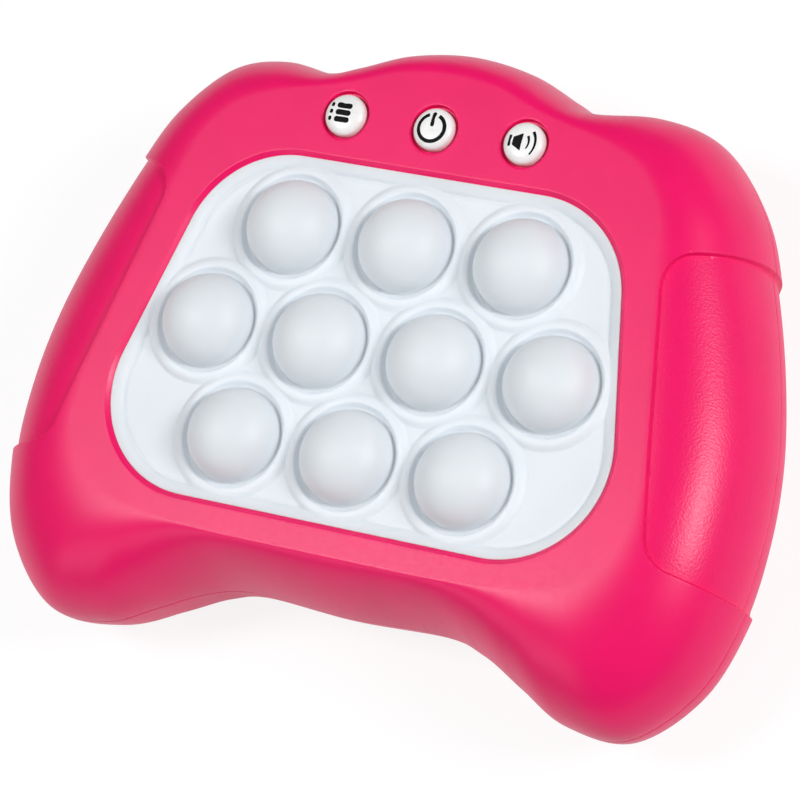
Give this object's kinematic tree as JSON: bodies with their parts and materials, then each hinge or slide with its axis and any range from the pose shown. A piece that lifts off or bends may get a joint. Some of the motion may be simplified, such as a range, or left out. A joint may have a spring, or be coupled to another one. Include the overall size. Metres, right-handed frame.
{
  "type": "electronic bubble pop game",
  "caption": "Hand-held push game: a two-grip moulded case with a silicone bubble pad in its face, round buttons above it, and a speaker and battery bay in its back.",
  "frame": {"origin": "centre of the whole box in plan, on the flat back that the game rests on", "axes": "+X across the two grips, +Y up the face towards the round buttons, +Z out of the face"},
  "size_m": [0.1602, 0.1272, 0.046],
  "materials": {
    "case_pink": "fine satin grain",
    "silicone_white": "smooth satin silicone",
    "plastic_white": "gloss",
    "board_green": "solder mask",
    "switch_black": "matte",
    "lamp": "gloss",
    "steel": "bright plated",
    "cell_wrap": "printed sleeve, bare",
    "cone_paper": "matte paper"
  },
  "bodies": {
    "case": {"front_shell": "case_pink", "rear_shell": "case_pink", "bubble_pad": "silicone_white", "key_plate": "plastic_white", "main_board": "board_green", "bubble_switch_1": "switch_black", "bubble_switch_2": "switch_black", "bubble_switch_3": "switch_black", "bubble_switch_4": "switch_black", "bubble_switch_5": "switch_black", "bubble_switch_6": "switch_black", "bubble_switch_7": "switch_black", "bubble_switch_8": "switch_black", "bubble_switch_9": "switch_black", "bubble_switch_10": "switch_black", "menu_switch": "switch_black", "power_switch": "switch_black", "sound_switch": "switch_black", "bubble_led_1": "lamp", "bubble_led_2": "lamp", "bubble_led_3": "lamp", "bubble_led_4": "lamp", "bubble_led_5": "lamp", "bubble_led_6": "lamp", "bubble_led_7": "lamp", "bubble_led_8": "lamp", "bubble_led_9": "lamp", "bubble_led_10": "lamp", "case_screw_1": "steel", "case_screw_2": "steel", "case_screw_3": "steel", "case_screw_4": "steel", "cell_spring_1": "steel", "cell_spring_2": "steel", "cell_spring_3": "steel", "contact_negative": "steel", "contact_bridge_right": "steel", "contact_bridge_left": "steel", "contact_positive": "steel", "speaker_frame": "steel", "battery_cell_1": "cell_wrap", "battery_cell_2": "cell_wrap", "battery_cell_3": "cell_wrap", "speaker_cone": "cone_paper"},
    "bubble_1_body": {"bubble_1": "silicone_white"},
    "bubble_2_body": {"bubble_2": "silicone_white"},
    "bubble_3_body": {"bubble_3": "silicone_white"},
    "bubble_4_body": {"bubble_4": "silicone_white"},
    "bubble_5_body": {"bubble_5": "silicone_white"},
    "bubble_6_body": {"bubble_6": "silicone_white"},
    "bubble_7_body": {"bubble_7": "silicone_white"},
    "bubble_8_body": {"bubble_8": "silicone_white"},
    "bubble_9_body": {"bubble_9": "silicone_white"},
    "bubble_10_body": {"bubble_10": "silicone_white"},
    "menu_button_body": {"menu_button": "plastic_white"},
    "power_button_body": {"power_button": "plastic_white"},
    "sound_button_body": {"sound_button": "plastic_white"},
    "door": {"battery_door": "case_pink", "door_screw": "steel"}
  },
  "joints": [
    {"name": "bubble_1_press", "type": "slide", "parent": "case", "child": "bubble_1_body", "axis": [0, 0, -1], "range_m": [0, 0.0045], "stiffness_N_per_m": 700, "springref_m": -0.0005},
    {"name": "bubble_2_press", "type": "slide", "parent": "case", "child": "bubble_2_body", "axis": [0, 0, -1], "range_m": [0, 0.0045], "stiffness_N_per_m": 700, "springref_m": -0.0005},
    {"name": "bubble_3_press", "type": "slide", "parent": "case", "child": "bubble_3_body", "axis": [0, 0, -1], "range_m": [0, 0.0045], "stiffness_N_per_m": 700, "springref_m": -0.0005},
    {"name": "bubble_4_press", "type": "slide", "parent": "case", "child": "bubble_4_body", "axis": [0, 0, -1], "range_m": [0, 0.0045], "stiffness_N_per_m": 700, "springref_m": -0.0005},
    {"name": "bubble_5_press", "type": "slide", "parent": "case", "child": "bubble_5_body", "axis": [0, 0, -1], "range_m": [0, 0.0045], "stiffness_N_per_m": 700, "springref_m": -0.0005},
    {"name": "bubble_6_press", "type": "slide", "parent": "case", "child": "bubble_6_body", "axis": [0, 0, -1], "range_m": [0, 0.0045], "stiffness_N_per_m": 700, "springref_m": -0.0005},
    {"name": "bubble_7_press", "type": "slide", "parent": "case", "child": "bubble_7_body", "axis": [0, 0, -1], "range_m": [0, 0.0045], "stiffness_N_per_m": 700, "springref_m": -0.0005},
    {"name": "bubble_8_press", "type": "slide", "parent": "case", "child": "bubble_8_body", "axis": [0, 0, -1], "range_m": [0, 0.0045], "stiffness_N_per_m": 700, "springref_m": -0.0005},
    {"name": "bubble_9_press", "type": "slide", "parent": "case", "child": "bubble_9_body", "axis": [0, 0, -1], "range_m": [0, 0.0045], "stiffness_N_per_m": 700, "springref_m": -0.0005},
    {"name": "bubble_10_press", "type": "slide", "parent": "case", "child": "bubble_10_body", "axis": [0, 0, -1], "range_m": [0, 0.0045], "stiffness_N_per_m": 700, "springref_m": -0.0005},
    {"name": "menu_button_press", "type": "slide", "parent": "case", "child": "menu_button_body", "axis": [0, 0, -1], "range_m": [0, 0.0008], "stiffness_N_per_m": 1500, "springref_m": -0.0003},
    {"name": "power_button_press", "type": "slide", "parent": "case", "child": "power_button_body", "axis": [0, 0, -1], "range_m": [0, 0.0008], "stiffness_N_per_m": 1500, "springref_m": -0.0003},
    {"name": "sound_button_press", "type": "slide", "parent": "case", "child": "sound_button_body", "axis": [0, 0, -1], "range_m": [0, 0.0008], "stiffness_N_per_m": 1500, "springref_m": -0.0003},
    {"name": "battery_door_hinge", "type": "hinge", "parent": "case", "child": "door", "pos_m": [-0.03105, 0.00437, 0.0004], "axis": [0, 1, 0], "range_deg": [0, 75]}
  ]
}
